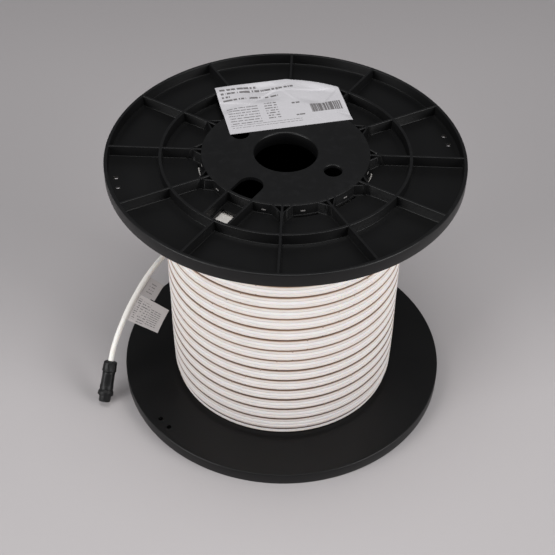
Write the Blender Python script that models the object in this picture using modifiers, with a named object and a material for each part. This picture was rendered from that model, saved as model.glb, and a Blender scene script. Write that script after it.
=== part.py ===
"""Reel of LED neon flex: a black moulded plastic reel standing on one flange, wound with
three layers of white square silicone flex, with the flex's lead cable and its connector."""
import bmesh
import bpy
from math import asin, cos, pi, radians, sin
from mathutils import Matrix, Vector

# Reel, in metres
REEL_HEIGHT = 0.252
FLANGE_RADIUS = 0.150
FLANGE_HEIGHT = 0.012
WEB = 0.0025              # floor of the flange, which faces the winding
RIM_WALL = 0.003
EDGE_ROUND = 0.001
RING_RADIUS = 0.105       # outer face of the round rib
RING_WALL = 0.0025
HUB_RADIUS = 0.070
HUB_PLATE = 0.003
SKIRT_WALL = 0.0025
BORE_RADIUS = 0.027
COLLAR_WALL = 0.003
RIBS = 12
RIB_WALL = 0.002
RIB_TURN = radians(-1.5)  # azimuth of the first rib of the upper flange
GUSSET_LENGTH = 0.008
GUSSET_REACH = 0.0065
GUSSET_WALL = 0.0015
DRIVE_RADIUS = 0.0075     # two drive holes in the hub
DRIVE_CIRCLE = 0.0456
DRIVE_ANGLE = radians(-32)
SLOT_WIDTH = 0.021        # cable slot, open from the hub to the round rib
SLOT_START = 0.0425
SLOT_WALL = 0.002
SLOT_RIB = 8              # the rib whose inner half the slot takes the place of
WINDOW_START = 0.0805     # hole in the floor at the slot's outer end
WINDOW_WIDTH = 0.0175
GLIMPSE_WIDTH = 0.0014    # narrow arc slots at the foot of the hub
GLIMPSE_SPAN = radians(16)
GLIMPSE_CLEARANCE = 0.0018
TIE_RADIUS = 0.0022       # two pairs of tie holes near the rim
TIE_INSET = 0.0095
TIE_ANGLE = radians(13.5)
TIE_SPREAD = radians(2.6)
LOWER_TURN = radians(-125)
OVERSHOOT = 0.002         # how far a cutter runs past the faces it cuts

# Core drum
GAP = 0.0003              # between faces that touch
DRUM_WALL = 0.003

# Flex
TURN_PITCH = 0.01243      # one turn of the 12 mm flex, as wound
FIRST_TURN = 0.0095       # the lowest turn, pressed down by those above it
TURNS = 1 + int((REEL_HEIGHT - 2 * (FLANGE_HEIGHT + GAP) - FIRST_TURN) / TURN_PITCH)
LAYERS = 3
WINDING_RADIUS = 0.1033
TURN_GROOVE = 0.0012
GROOVE_WIDTH = 0.0026
FLEX_SIDE = 0.012
FLEX_CORNER = 0.0016
TAIL_RISE_START = radians(-22)
TAIL_BEDDED = radians(6)  # the first bit of the rise lies inside the top turn
TAIL_RISE_END = radians(18)
TAIL_END = radians(147)
TAIL_END_HEIGHT = 0.0995
TAIL_LIFT = 0.0044        # how far the stiff end stands off the turns below it
TAIL_STRAIGHT = 0.004     # the last bit runs straight into the end cap
TAIL_STEPS = 30

# End cap, lead cable and connector
CAP_SIDE = 0.0136
CAP_LENGTH = 0.0135
CAP_EDGE = 0.0015
NOZZLE_LENGTH = 0.006
NOZZLE_ROOT = 0.002       # how far the nozzle is sunk into the cap
NOZZLE_RADIUS = 0.0042
NOZZLE_TIP = 0.0031
CABLE_DIAMETER = 0.005
CABLE_POINTS = 26
CABLE_ROUTE = [
    (-0.1094, 0.0420, 0.0995), (-0.1153, 0.0330, 0.0986), (-0.1210, 0.0242, 0.0962),
    (-0.1266, 0.0158, 0.0922), (-0.1319, 0.0078, 0.0872), (-0.1369, 0.0003, 0.0813),
    (-0.1417, -0.0068, 0.0747), (-0.1461, -0.0137, 0.0676), (-0.1501, -0.0203, 0.0601),
    (-0.1537, -0.0267, 0.0522), (-0.1567, -0.0331, 0.0440), (-0.1589, -0.0395, 0.0356),
]
CONNECTOR_TIP = (-0.1648, -0.0622, 0.0048)
NUT_LENGTH = 0.0098
NUT_RADIUS = 0.0067
NUT_BAND = 0.0025         # the plain band at the nut's lower end
NUT_CHAMFER = 0.001
GRIP_DEPTH = 0.0006       # how far the ribbed grip is set back from that band
CABLE_PINCH = 0.0005      # the nut's mouth grips the cable by this much
BODY_RADIUS = 0.0062
COLLAR_RADIUS = 0.0073
COLLAR_LIP = 0.0015
COLLAR_LENGTH = 0.0045
COLLAR_STEP = 0.0005      # each slope beside the collar's ring
COLLAR_SETBACK = 0.0007
TIP_RADIUS = 0.0055
TIP_LENGTH = 0.006

# Paper labels
PAPER = 0.0004
LABEL_LENGTH = 0.107
LABEL_WIDTH = 0.071
LABEL_TURN = radians(13.8)
LABEL_CENTRE = (-0.0035, 0.0690)
FLAG_LEAN = (0.942, -0.197, -0.272)  # the way both flag labels stand off the cable
UPPER_FLAG = (0.0317, 0.0496)         # from and to, along the cable
UPPER_REACH = 0.0178
LOWER_FLAG = (0.0506, 0.0773)
LOWER_REACH = 0.0335

# Fineness of the meshes
FLAG_SAMPLES = 101
FLANGE_STEPS = 60
WINDING_STEPS = 40
CONNECTOR_STEPS = 20
HOLE_STEPS = 16
TIE_STEPS = 8
SLOT_STEPS = 8            # in the slot's round end
ARC_STEPS = 5
SHORT_ARC_STEPS = 3
CAP_EDGE_STEPS = 2
CABLE_SIDES = 2
MERGE = 0.000005          # seams closer than this are closed
SHARP = radians(30)       # edges sharper than this stay sharp
LOCAL_X = Vector((1, 0, 0))


def clear_scene():
    for thing in list(bpy.data.objects):
        bpy.data.objects.remove(thing, do_unlink=True)


def collection(name):
    group = bpy.data.collections.new(name)
    bpy.context.scene.collection.children.link(group)
    return group


def finish(name, colour, roughness):
    material = bpy.data.materials.new(name)
    material.use_nodes = True
    shader = material.node_tree.nodes["Principled BSDF"]
    shader.inputs["Base Color"].default_value = (*colour, 1)
    shader.inputs["Roughness"].default_value = roughness
    shader.inputs["Metallic"].default_value = 0.0
    return material


def place(name, mesh, group, material=None):
    thing = bpy.data.objects.new(name, mesh)
    group.objects.link(thing)
    if material:
        mesh.materials.clear()
        mesh.materials.append(material)
    return thing


def adopt(name, group, material):
    """Take the primitive that was just added into the part's own collection."""
    thing = bpy.context.object
    thing.name = name
    for owner in list(thing.users_collection):
        owner.objects.unlink(thing)
    group.objects.link(thing)
    thing.data.materials.append(material)
    return thing


def guide(thing):
    thing.hide_render = True
    thing.display_type = "WIRE"
    return thing


def evaluated(thing):
    """The object's mesh with its modifiers or its curve worked out, caps welded."""
    bpy.context.view_layer.update()
    graph = bpy.context.evaluated_depsgraph_get()
    mesh = bpy.data.meshes.new_from_object(thing.evaluated_get(graph))
    weld(mesh)
    return mesh


def weld(mesh):
    shape = bmesh.new()
    shape.from_mesh(mesh)
    bmesh.ops.remove_doubles(shape, verts=shape.verts, dist=MERGE / 2)
    bmesh.ops.recalc_face_normals(shape, faces=shape.faces)
    shape.to_mesh(mesh)
    shape.free()


def turned(name, profile, steps, group, material=None, turn=0.0):
    """A closed (radius, height) profile turned about Z with a Screw modifier."""
    points = [(radius * cos(turn), radius * sin(turn), height) for radius, height in profile]
    edges = [(i, (i + 1) % len(points)) for i in range(len(points))]
    mesh = bpy.data.meshes.new(name)
    mesh.from_pydata(points, edges, [])
    thing = place(name, mesh, group, material)
    screw = thing.modifiers.new("turn", "SCREW")
    screw.axis = "Z"
    screw.angle = 2 * pi
    screw.steps = steps
    screw.render_steps = steps
    screw.use_merge_vertices = True
    screw.merge_threshold = MERGE
    screw.use_smooth_shade = True
    return thing


def prism(name, outlines, low, high, group):
    """Flat outlines extruded from low to high, as one mesh."""
    curve = bpy.data.curves.new(name, "CURVE")
    curve.dimensions = "2D"
    curve.fill_mode = "BOTH"
    curve.extrude = (high - low) / 2
    for outline in outlines:
        spline = curve.splines.new("POLY")
        spline.points.add(len(outline) - 1)
        for point, (x, y) in zip(spline.points, outline):
            point.co = (x, y, 0, 1)
        spline.use_cyclic_u = True
    thing = place(name, curve, group)
    thing.location.z = (high + low) / 2
    mesh = evaluated(thing)
    mesh.transform(Matrix.Translation((0, 0, (high + low) / 2)))
    bpy.data.objects.remove(thing, do_unlink=True)
    return guide(place(name, mesh, group))


def cut(thing, cutter, operation="DIFFERENCE"):
    boolean = thing.modifiers.new(cutter.name, "BOOLEAN")
    boolean.operation = operation
    boolean.solver = "EXACT"
    boolean.object = cutter


def polar(radius, angle):
    return (radius * cos(angle), radius * sin(angle))


def beside(radius, angle, offset):
    """The point at this radius that lies offset to the left of the radial line at angle."""
    return polar(radius, angle + asin(offset / radius))


def arc(radius, start, end, steps):
    return [polar(radius, start + (end - start) * i / steps) for i in range(steps + 1)]


def circle(radius, centre, steps):
    return [(centre[0] + radius * cos(2 * pi * i / steps), centre[1] + radius * sin(2 * pi * i / steps))
            for i in range(steps)]


def rib_angle(index):
    return RIB_TURN + 2 * pi * index / RIBS


def pocket(inner, outer, left, left_offset, right, right_offset, gussets=(False, False)):
    """Outline of one pocket between the ribs at angles right and left, seen from outside."""
    right_out = right + asin(right_offset / outer)
    left_out = left - asin(left_offset / outer)
    points = arc(outer, right_out, left_out, ARC_STEPS)
    tip = inner + GUSSET_LENGTH
    reach = GUSSET_REACH + GUSSET_WALL
    if gussets[0]:
        points.append(beside(tip + GUSSET_WALL, left, -left_offset))
        start = left - asin(reach / inner)
    else:
        start = left - asin(left_offset / inner)
    if gussets[1]:
        end = right + asin(reach / inner)
    else:
        end = right + asin(right_offset / inner)
    points += arc(inner, start, end, ARC_STEPS)
    if gussets[1]:
        points.append(beside(tip + GUSSET_WALL, right, right_offset))
    return points


def gusset_holes(inner, rib):
    """The two small three-cornered pockets where a rib forks at the hub."""
    tip = inner + GUSSET_LENGTH - GUSSET_WALL
    holes = []
    for side in (-1, 1):
        corner = [beside(inner, rib, side * RIB_WALL / 2), beside(tip, rib, side * RIB_WALL / 2),
                  beside(inner, rib, side * (GUSSET_REACH - GUSSET_WALL / 2))]
        holes.append(corner)
    return holes


def flange_pockets():
    half_rib = RIB_WALL / 2
    half_slot = SLOT_WIDTH / 2
    ring_inner = RING_RADIUS - RING_WALL
    rim_inner = FLANGE_RADIUS - RIM_WALL
    outlines = []
    for index in range(RIBS):
        right, left = rib_angle(index), rib_angle(index + 1)
        outlines.append(pocket(RING_RADIUS, rim_inner, left, half_rib, right, half_rib))
        by_slot_left = (index + 1) % RIBS == SLOT_RIB
        by_slot_right = index == SLOT_RIB
        left_offset = half_slot + SLOT_WALL if by_slot_left else half_rib
        right_offset = half_slot + SLOT_WALL if by_slot_right else half_rib
        outlines.append(pocket(HUB_RADIUS, ring_inner, left, left_offset, right, right_offset,
                               (not by_slot_left, not by_slot_right)))
        if not by_slot_right:
            outlines += gusset_holes(HUB_RADIUS, right)
    slot = rib_angle(SLOT_RIB)
    outlines.append(pocket(HUB_RADIUS, ring_inner, slot, -half_slot, slot, -half_slot))
    return outlines


def flange_holes():
    slot = rib_angle(SLOT_RIB)
    half_slot = SLOT_WIDTH / 2
    half_window = WINDOW_WIDTH / 2
    hub_inner = HUB_RADIUS - SKIRT_WALL
    ring_inner = RING_RADIUS - RING_WALL
    holes = []
    centre = SLOT_START + half_slot
    middle = polar(centre, slot)
    round_end = [(middle[0] + half_slot * cos(slot + angle), middle[1] + half_slot * sin(slot + angle))
                 for angle in (pi / 2 + pi * i / SLOT_STEPS for i in range(SLOT_STEPS + 1))]
    spread = asin(half_slot / hub_inner)
    holes.append(round_end + arc(hub_inner, slot - spread, slot + spread, SHORT_ARC_STEPS))
    inner_spread = asin(half_window / WINDOW_START)
    outer_spread = asin(half_window / ring_inner)
    holes.append(arc(WINDOW_START, slot + inner_spread, slot - inner_spread, SHORT_ARC_STEPS)
                 + arc(ring_inner - GAP, slot - outer_spread, slot + outer_spread, SHORT_ARC_STEPS))
    for side in (0, pi):
        holes.append(circle(DRIVE_RADIUS, polar(DRIVE_CIRCLE, DRIVE_ANGLE + side), HOLE_STEPS))
        for shift in (-TIE_SPREAD, TIE_SPREAD):
            holes.append(circle(TIE_RADIUS, polar(FLANGE_RADIUS - TIE_INSET, TIE_ANGLE + side + shift),
                                TIE_STEPS))
    low = HUB_RADIUS + GLIMPSE_CLEARANCE
    for index in range(RIBS):
        if index in (SLOT_RIB - 1, SLOT_RIB):
            continue
        middle = rib_angle(index + 0.5)
        ends = (middle - GLIMPSE_SPAN / 2, middle + GLIMPSE_SPAN / 2)
        holes.append(arc(low, ends[1], ends[0], SHORT_ARC_STEPS)
                     + arc(low + GLIMPSE_WIDTH, ends[0], ends[1], SHORT_ARC_STEPS))
    return holes


def flange_mesh(cutters):
    """The flange with its inner face at z = 0 and its ribs upwards."""
    hub_inner = HUB_RADIUS - SKIRT_WALL
    collar = BORE_RADIUS + COLLAR_WALL
    profile = [
        (BORE_RADIUS, 0), (BORE_RADIUS, FLANGE_HEIGHT - EDGE_ROUND),
        (BORE_RADIUS + EDGE_ROUND, FLANGE_HEIGHT), (FLANGE_RADIUS - EDGE_ROUND, FLANGE_HEIGHT),
        (FLANGE_RADIUS, FLANGE_HEIGHT - EDGE_ROUND), (FLANGE_RADIUS, EDGE_ROUND),
        (FLANGE_RADIUS - EDGE_ROUND, 0), (hub_inner, 0), (hub_inner, FLANGE_HEIGHT - HUB_PLATE),
        (collar, FLANGE_HEIGHT - HUB_PLATE), (collar, 0),
    ]
    blank = guide(turned("flange_blank", profile, FLANGE_STEPS, cutters, turn=RIB_TURN))
    over = FLANGE_HEIGHT + OVERSHOOT
    cut(blank, prism("flange_pockets", flange_pockets(), WEB, over, cutters))
    cut(blank, prism("flange_holes", flange_holes(), -OVERSHOOT, over, cutters))
    mesh = evaluated(blank)
    bpy.data.objects.remove(blank, do_unlink=True)
    return mesh


def make_flanges(group, cutters, plastic):
    mesh = flange_mesh(cutters)
    upper = place("flange_top", mesh, group, plastic)
    upper.location.z = REEL_HEIGHT - FLANGE_HEIGHT
    lower = place("flange_bottom", mesh, group)
    lower.location.z = FLANGE_HEIGHT
    lower.rotation_euler = (pi, 0, LOWER_TURN)
    mesh.shade_smooth()
    mesh.set_sharp_from_angle(angle=SHARP)


def make_drum(group, plastic):
    low, high = FLANGE_HEIGHT + GAP, REEL_HEIGHT - FLANGE_HEIGHT - GAP
    outer = HUB_RADIUS
    inner = outer - DRUM_WALL
    turned("core_drum", [(outer, high), (outer, low), (inner, low), (inner, high)], WINDING_STEPS,
           group, plastic)


def winding_profile():
    """Section of the whole winding: a groove between turns outside and between layers at the ends."""
    inner = HUB_RADIUS + GAP
    low = FLANGE_HEIGHT + GAP
    high = low + FIRST_TURN + (TURNS - 1) * TURN_PITCH
    layer = (WINDING_RADIUS - inner) / LAYERS
    half = GROOVE_WIDTH / 2
    points = [(inner, high)]
    for index in range(1, LAYERS):
        radius = inner + index * layer
        points += [(radius - half, high), (radius, high - TURN_GROOVE), (radius + half, high)]
    points.append((WINDING_RADIUS - TURN_GROOVE, high))
    for index in range(TURNS):
        top = high - index * TURN_PITCH
        below = max(top - TURN_PITCH, low)
        points += [(WINDING_RADIUS, top - half), (WINDING_RADIUS, below + half),
                   (WINDING_RADIUS - TURN_GROOVE, below)]
    for index in reversed(range(1, LAYERS)):
        radius = inner + index * layer
        points += [(radius + half, low), (radius, low + TURN_GROOVE), (radius - half, low)]
    points.append((inner, low))
    return points


def smooth(value):
    value = min(max(value, 0.0), 1.0)
    return value * value * (3 - 2 * value)


def tail_point(angle):
    """Centre of the flex's free tail, which rises out of the top turn and comes down the outside."""
    bedded = WINDING_RADIUS - FLEX_SIDE / 2
    riding = WINDING_RADIUS + FLEX_SIDE / 2 + GAP
    rise = smooth((angle - TAIL_RISE_START) / (TAIL_RISE_END - TAIL_RISE_START))
    lift = TAIL_LIFT * smooth((angle - TAIL_RISE_END) / (TAIL_END - TAIL_RISE_END))
    radius = bedded + (riding - bedded) * rise + lift
    top = FLANGE_HEIGHT + GAP + FIRST_TURN + (TURNS - 1.5) * TURN_PITCH
    fall = smooth((angle - TAIL_RISE_END) / (TAIL_END - TAIL_RISE_END))
    return Vector((radius * cos(angle), radius * sin(angle), top + (TAIL_END_HEIGHT - top) * fall))


def tail_end():
    """The middle of the tail's cut end, and the way it points."""
    heading = Vector((-sin(TAIL_END), cos(TAIL_END), 0))
    return tail_point(TAIL_END) + heading * TAIL_STRAIGHT, heading


def rounded_square(side, corner):
    half = side / 2
    return [(half, half - corner), (half - corner, half), (corner - half, half), (-half, half - corner),
            (-half, corner - half), (corner - half, -half), (half - corner, -half), (half, corner - half)]


def swept(name, path, section, group):
    """A section carried along a path of straight pieces, its sides kept upright."""
    outline = bpy.data.curves.new(name + "_section", "CURVE")
    outline.dimensions = "2D"
    spline = outline.splines.new("POLY")
    spline.points.add(len(section) - 1)
    for point, (x, y) in zip(spline.points, section):
        point.co = (x, y, 0, 1)
    spline.use_cyclic_u = True
    bevel = guide(place(name + "_section", outline, group))
    curve = bpy.data.curves.new(name, "CURVE")
    curve.dimensions = "3D"
    curve.twist_mode = "Z_UP"
    curve.bevel_mode = "OBJECT"
    curve.bevel_object = bevel
    curve.use_fill_caps = True
    line = curve.splines.new("POLY")
    line.points.add(len(path) - 1)
    for point, place_at in zip(line.points, path):
        point.co = (*place_at, 1)
    thing = place(name, curve, group)
    mesh = evaluated(thing)
    bpy.data.objects.remove(thing, do_unlink=True)
    bpy.data.objects.remove(bevel, do_unlink=True)
    return place(name, mesh, group)


def make_flex(group, cutters, silicone):
    """All the wound turns as one turned solid, with the flex's tail joined to it."""
    flex = turned("neon_flex", winding_profile(), WINDING_STEPS, group, silicone)
    start = TAIL_RISE_START + TAIL_BEDDED
    angles = [start + (TAIL_END - start) * i / TAIL_STEPS for i in range(TAIL_STEPS + 1)]
    path = [tail_point(angle) for angle in angles] + [tail_end()[0]]
    tail = guide(swept("flex_tail", path, rounded_square(FLEX_SIDE, FLEX_CORNER), cutters))
    cut(flex, tail, "UNION")


def along(points, count):
    """Points read off a smooth curve through the given ones (Catmull-Rom)."""
    knots = [Vector(p) for p in points]
    knots = [2 * knots[0] - knots[1]] + knots + [2 * knots[-1] - knots[-2]]
    spans = len(points) - 1
    result = []
    for i in range(count):
        position = spans * i / (count - 1)
        index = min(int(position), spans - 1)
        t = position - index
        a, b, c, d = knots[index:index + 4]
        result.append(0.5 * (2 * b + (c - a) * t + (2 * a - 5 * b + 4 * c - d) * t ** 2
                             + (3 * b - a - 3 * c + d) * t ** 3))
    return result


def frame_at(origin, direction, side_hint):
    """Matrix whose Z runs along direction, with X as near to side_hint as it can be."""
    z = direction.normalized()
    y = z.cross(side_hint).normalized()
    x = y.cross(z)
    matrix = Matrix((x, y, z)).transposed().to_4x4()
    matrix.translation = origin
    return matrix


def make_cap(group, cutters, silicone):
    """Moulded end cap glued over the flex's end, with a short nozzle for the cable."""
    end, heading = tail_end()
    outwards = Vector((cos(TAIL_END), sin(TAIL_END), 0))
    bpy.ops.mesh.primitive_cube_add(size=1)
    cap = adopt("flex_end_cap", group, silicone)
    cap.data.transform(Matrix.Diagonal((CAP_SIDE, CAP_SIDE, CAP_LENGTH, 1)))
    cap.matrix_world = frame_at(end + heading * (GAP + CAP_LENGTH / 2), heading, outwards)
    bevel = cap.modifiers.new("edges", "BEVEL")
    bevel.width = CAP_EDGE
    bevel.segments = CAP_EDGE_STEPS
    nozzle = [(0, NOZZLE_LENGTH), (NOZZLE_TIP, NOZZLE_LENGTH), (NOZZLE_RADIUS, -NOZZLE_ROOT),
              (0, -NOZZLE_ROOT)]
    spout = revolved("cap_nozzle", nozzle, HOLE_STEPS, cutters)
    spout.matrix_world = frame_at(end + heading * (GAP + CAP_LENGTH), heading, outwards)
    guide(spout)
    cut(cap, spout, "UNION")


def revolved(name, profile, steps, group, material=None):
    """A profile that starts and ends on the axis, turned and welded into one closed mesh."""
    points = [(radius, 0, height) for radius, height in profile]
    mesh = bpy.data.meshes.new(name)
    mesh.from_pydata(points, [(i, i + 1) for i in range(len(points) - 1)], [])
    source = place(name + "_profile", mesh, group)
    screw = source.modifiers.new("turn", "SCREW")
    screw.angle = 2 * pi
    screw.steps = steps
    screw.render_steps = steps
    screw.use_merge_vertices = True
    screw.merge_threshold = MERGE
    solid = evaluated(source)
    bpy.data.objects.remove(source, do_unlink=True)
    return place(name, solid, group, material)


def make_cable(group, silicone):
    curve = bpy.data.curves.new("lead_cable", "CURVE")
    curve.dimensions = "3D"
    curve.bevel_depth = CABLE_DIAMETER / 2
    curve.bevel_resolution = CABLE_SIDES
    curve.use_fill_caps = True
    spline = curve.splines.new("POLY")
    path = along(CABLE_ROUTE, CABLE_POINTS)
    spline.points.add(len(path) - 1)
    for point, place_at in zip(spline.points, path):
        point.co = (*place_at, 1)
    place("lead_cable", curve, group, silicone)


def make_connector(group, plastic):
    """Round waterproof connector: a gland nut over the cable and a plug body that it closes."""
    top = Vector(CABLE_ROUTE[-1])
    tip = Vector(CONNECTOR_TIP)
    heading = (tip - top).normalized()
    length = (tip - top).length - GAP
    mouth = CABLE_DIAMETER / 2 - CABLE_PINCH
    grip = NUT_RADIUS - GRIP_DEPTH
    band = NUT_LENGTH - NUT_BAND
    nut = [(0, NUT_LENGTH), (NUT_RADIUS, NUT_LENGTH), (NUT_RADIUS, band), (grip, band - GRIP_DEPTH),
           (grip, NUT_CHAMFER), (grip - NUT_CHAMFER, 0), (mouth, 0), (0, 0)]
    piece = revolved("connector_nut", nut, CONNECTOR_STEPS, group, plastic)
    piece.matrix_world = frame_at(top + heading * GAP, heading, LOCAL_X)
    start = NUT_LENGTH + GAP
    collar = length - TIP_LENGTH
    neck = COLLAR_RADIUS - COLLAR_SETBACK
    body = [(0, length), (TIP_RADIUS, length), (TIP_RADIUS, collar), (COLLAR_RADIUS, collar),
            (COLLAR_RADIUS, collar - COLLAR_LIP), (neck, collar - COLLAR_LIP - COLLAR_STEP),
            (neck, collar - COLLAR_LENGTH), (BODY_RADIUS, collar - COLLAR_LENGTH - COLLAR_STEP),
            (BODY_RADIUS, start), (0, start)]
    piece = revolved("connector_body", body, CONNECTOR_STEPS, group, plastic)
    piece.matrix_world = frame_at(top + heading * GAP, heading, LOCAL_X)


def make_flag(name, span, reach, group, paper):
    """A paper flag label: a thin leaf that stands off the side of the cable."""
    path = along(CABLE_ROUTE, FLAG_SAMPLES)
    lengths = [0.0]
    for before, after in zip(path, path[1:]):
        lengths.append(lengths[-1] + (after - before).length)

    def at(distance):
        index = max(i for i, value in enumerate(lengths[:-1]) if value <= distance)
        ratio = (distance - lengths[index]) / (lengths[index + 1] - lengths[index])
        return path[index].lerp(path[index + 1], ratio)

    first, last = at(span[0]), at(span[1])
    lean = Vector(FLAG_LEAN).normalized()
    start = CABLE_DIAMETER / 2 + GAP + PAPER / 2
    corners = [first + lean * start, last + lean * start, last + lean * reach, first + lean * reach]
    mesh = bpy.data.meshes.new(name)
    mesh.from_pydata([tuple(corner) for corner in corners], [], [(0, 1, 2, 3)])
    flag = place(name, mesh, group, paper)
    wall = flag.modifiers.new("thickness", "SOLIDIFY")
    wall.thickness = PAPER
    wall.offset = 0


def make_label(group, paper):
    """Paper label stuck on the hub of the upper flange, lying on the ribs around it."""
    bpy.ops.mesh.primitive_cube_add(size=1)
    label = adopt("reel_label", group, paper)
    label.data.transform(Matrix.Diagonal((LABEL_LENGTH, LABEL_WIDTH, PAPER, 1)))
    label.location = (*LABEL_CENTRE, REEL_HEIGHT + GAP + PAPER / 2)
    label.rotation_euler.z = LABEL_TURN


def build():
    clear_scene()
    group = collection("neon_flex_reel")
    cutters = collection("cutters")
    plastic = finish("black_plastic", (0.010, 0.010, 0.011), 0.55)
    silicone = finish("white_silicone", (0.80, 0.76, 0.72), 0.45)
    sheath = finish("white_sheath", (0.82, 0.80, 0.77), 0.4)
    paper = finish("white_paper", (0.70, 0.70, 0.71), 0.8)
    make_flanges(group, cutters, plastic)
    make_drum(group, plastic)
    make_flex(group, cutters, silicone)
    make_cap(group, cutters, silicone)
    make_cable(group, sheath)
    make_connector(group, plastic)
    make_flag("cable_flag_upper", UPPER_FLAG, UPPER_REACH, group, paper)
    make_flag("cable_flag_lower", LOWER_FLAG, LOWER_REACH, group, paper)
    make_label(group, paper)


build()
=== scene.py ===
"""Looks of a reel of white LED neon flex: a black moulded reel standing on its lower flange, the
flex wound on it turn by turn, and the flex's lead with its connector and paper labels."""
import bmesh
import bpy
import numpy as np
from mathutils import Matrix


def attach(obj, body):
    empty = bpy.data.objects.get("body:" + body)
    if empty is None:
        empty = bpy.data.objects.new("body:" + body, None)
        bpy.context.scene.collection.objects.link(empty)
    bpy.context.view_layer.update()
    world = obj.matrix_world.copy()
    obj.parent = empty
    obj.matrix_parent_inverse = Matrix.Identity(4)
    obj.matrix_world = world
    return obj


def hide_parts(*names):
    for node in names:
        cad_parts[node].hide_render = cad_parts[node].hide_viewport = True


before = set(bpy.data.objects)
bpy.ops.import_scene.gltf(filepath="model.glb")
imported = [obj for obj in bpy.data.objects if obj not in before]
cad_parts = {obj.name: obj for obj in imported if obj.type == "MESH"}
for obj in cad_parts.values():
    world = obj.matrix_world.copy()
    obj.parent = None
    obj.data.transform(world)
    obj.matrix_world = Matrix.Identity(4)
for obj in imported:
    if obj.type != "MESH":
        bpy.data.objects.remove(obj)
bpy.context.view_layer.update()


# Camera. A long lens stands 1.1 m from the reel and looks down at it by 43 degrees. All its numbers
# were fitted to the rims, ribs and small holes of the two flanges in the photograph.
IMAGE_WIDTH = 555
FOCAL_PIXELS = 1158.41
SENSOR_WIDTH = 36
FLANGE_RADIUS = 0.150
CAMERA_PITCH = np.radians(43.2793)
CAMERA_YAW = np.radians(-0.28401)
CAMERA_ROLL = np.radians(1.148)
CAMERA_DISTANCE = 7.03824 * FLANGE_RADIUS
CAMERA_LIFT = 0.725873 * FLANGE_RADIUS

ahead = np.array([0, np.cos(CAMERA_PITCH), -np.sin(CAMERA_PITCH)])
right = np.array([1.0, 0, 0])
upward = np.cross(right, ahead)
turned_ahead = ahead * np.cos(CAMERA_YAW) + right * np.sin(CAMERA_YAW)
turned_right = right * np.cos(CAMERA_YAW) - ahead * np.sin(CAMERA_YAW)
rolled_right = turned_right * np.cos(CAMERA_ROLL) + upward * np.sin(CAMERA_ROLL)
rolled_up = upward * np.cos(CAMERA_ROLL) - turned_right * np.sin(CAMERA_ROLL)
camera_at = np.array([0, -CAMERA_DISTANCE * np.cos(CAMERA_PITCH),
                      CAMERA_LIFT + CAMERA_DISTANCE * np.sin(CAMERA_PITCH)])

lens = bpy.data.cameras.new("camera")
lens.sensor_width = SENSOR_WIDTH
lens.lens = FOCAL_PIXELS / IMAGE_WIDTH * SENSOR_WIDTH
lens.clip_start = 0.05
camera = bpy.data.objects.new("camera", lens)
bpy.context.scene.collection.objects.link(camera)
axes = np.stack([rolled_right, rolled_up, -turned_ahead, camera_at], axis=1)
camera.matrix_world = Matrix([*axes.tolist(), [0, 0, 0, 1]])
bpy.context.scene.camera = camera


# Studio. The reel stands on pale grey card. Two large soft boxes stand low at both sides, a little
# in front of it, so that they reach the winding under the upper flange, and a third one overhead
# lights the card.
CARD_SIZE, CARD_POINTS = 6.0, 13
CARD_NEAR, CARD_FAR = -0.5, 1.0
SHARP_ANGLE = np.radians(38)
REEL_MIDDLE = np.array([0, 0, 0.12])


def linear(colour):
    """A hex sRGB colour as linear red, green, blue and alpha: the power curve of the sRGB standard
    above its straight toe."""
    parts = np.array([int(colour[i:i + 2], 16) for i in (1, 3, 5)]) / 255
    curve = np.where(parts > 0.04045, ((parts + 0.055) / 1.055) ** 2.4, parts / 12.92)
    return (*curve.tolist(), 1.0)


def new_material(name):
    """An empty material with its Principled shader, ready for its nodes."""
    material = bpy.data.materials.new(name)
    material.use_nodes = True
    return material, material.node_tree, material.node_tree.nodes["Principled BSDF"]


def fill(tree, node, sockets):
    """Gives each of a node's named sockets its value, or its link from another node's socket."""
    for socket, value in sockets.items():
        if isinstance(value, bpy.types.NodeSocket):
            tree.links.new(value, node.inputs[socket])
        else:
            node.inputs[socket].default_value = value


def add_node(tree, kind, sockets=(), **settings):
    """One node with its settings and its filled sockets."""
    made = tree.nodes.new(kind)
    for name, value in settings.items():
        setattr(made, name, value)
    fill(tree, made, dict(sockets))
    return made


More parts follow.
